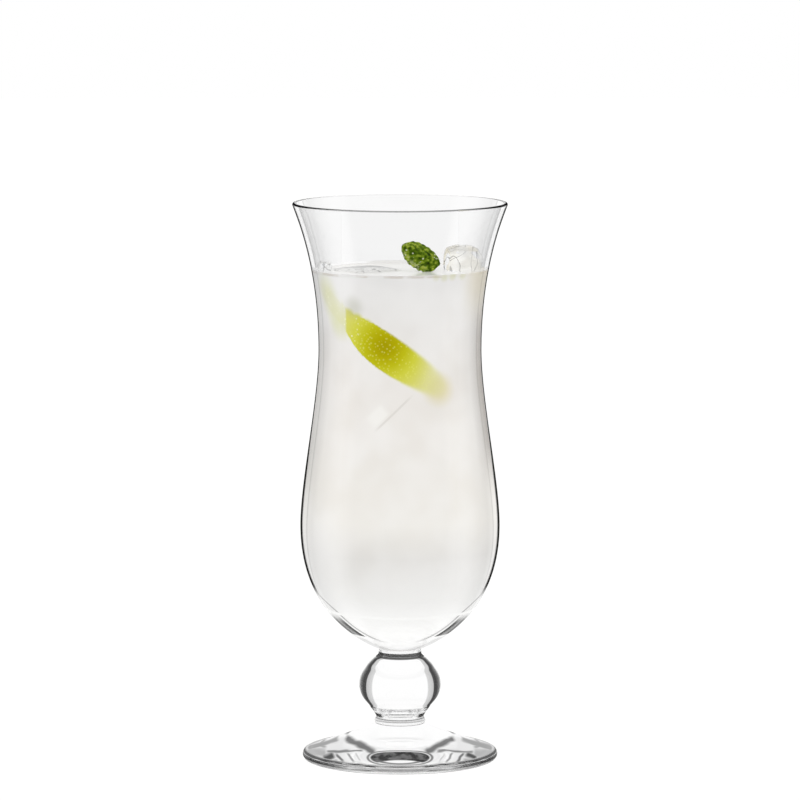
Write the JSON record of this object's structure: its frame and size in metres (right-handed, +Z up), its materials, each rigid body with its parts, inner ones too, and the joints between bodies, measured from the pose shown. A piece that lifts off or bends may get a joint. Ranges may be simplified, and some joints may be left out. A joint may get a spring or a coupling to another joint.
{
  "type": "hurricane glass",
  "caption": "Footed hurricane glass with a ball knop, a round belly, a waist and a flared rim, filled with a cloudy lime drink, ice, lime peel and a mint leaf.",
  "frame": {"origin": "centre of the resting ring under the foot, on the surface that the glass stands on", "axes": "+Z up along the axis of the glass, -Y towards the side of the drink that shows the lime peel"},
  "size_m": [0.0789, 0.0788, 0.206],
  "materials": {
    "clear_glass": "fire-polished soda-lime glass",
    "cloudy_drink": "cloudy liquid",
    "ice": "wet clear ice",
    "lime_peel": "waxy dimpled rind",
    "mint_leaf": "matte leaf"
  },
  "bodies": {
    "filled_glass": {"bowl": "clear_glass", "stem_collar": "clear_glass", "stem_knop": "clear_glass", "stem_ring": "clear_glass", "foot": "clear_glass", "drink": "cloudy_drink", "ice_cube_upper": "ice", "ice_cube_middle": "ice", "ice_cube_low": "ice", "lime_peel": "lime_peel"},
    "left_ice": {"ice_cube_left": "ice"},
    "right_ice": {"ice_cube_right": "ice"},
    "chip": {"ice_chip": "ice"},
    "leaf": {"mint_leaf": "mint_leaf"}
  },
  "joints": [
    {"name": "lift_left_ice", "type": "slide", "parent": "filled_glass", "child": "left_ice", "axis": [0, 0, 1], "range_m": [0, 0.05]},
    {"name": "lift_right_ice", "type": "slide", "parent": "filled_glass", "child": "right_ice", "axis": [0, 0, 1], "range_m": [0, 0.035]},
    {"name": "lift_chip", "type": "slide", "parent": "filled_glass", "child": "chip", "axis": [0, 0, 1], "range_m": [0, 0.03]},
    {"name": "lift_leaf", "type": "slide", "parent": "filled_glass", "child": "leaf", "axis": [0, 0, 1], "range_m": [0, 0.03]}
  ]
}
